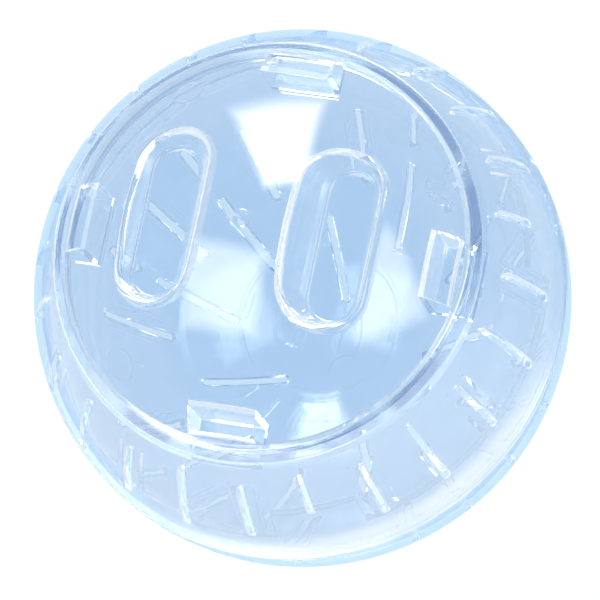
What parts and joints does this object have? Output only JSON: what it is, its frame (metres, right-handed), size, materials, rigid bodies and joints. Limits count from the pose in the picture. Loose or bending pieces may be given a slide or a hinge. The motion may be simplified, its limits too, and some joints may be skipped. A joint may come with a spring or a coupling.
{
  "type": "hamster ball",
  "caption": "Clear plastic hamster running ball: vented half shells that snap together round the middle, and a domed lid with finger wells and bayonet hooks that closes the mouth.",
  "frame": {"origin": "centre of the ball", "axes": "+Z along the lid's axis, out of the mouth; +X across the lid's finger wells; the seam between the half shells lies in the XY plane"},
  "size_m": [0.14, 0.14, 0.14],
  "materials": {
    "clear_plastic": "clear, faintly blue, polished moulded plastic"
  },
  "bodies": {
    "front": {"front_shell": "clear_plastic"},
    "lid": {"lid": "clear_plastic"},
    "back": {"back_shell": "clear_plastic"}
  },
  "joints": [
    {"name": "lid_lift", "type": "slide", "parent": "front", "child": "lid", "axis": [0, 0, 1], "range_m": [0, 0.06]},
    {"name": "half_pull", "type": "slide", "parent": "front", "child": "back", "axis": [0, 0, -1], "range_m": [0, 0.05]}
  ]
}
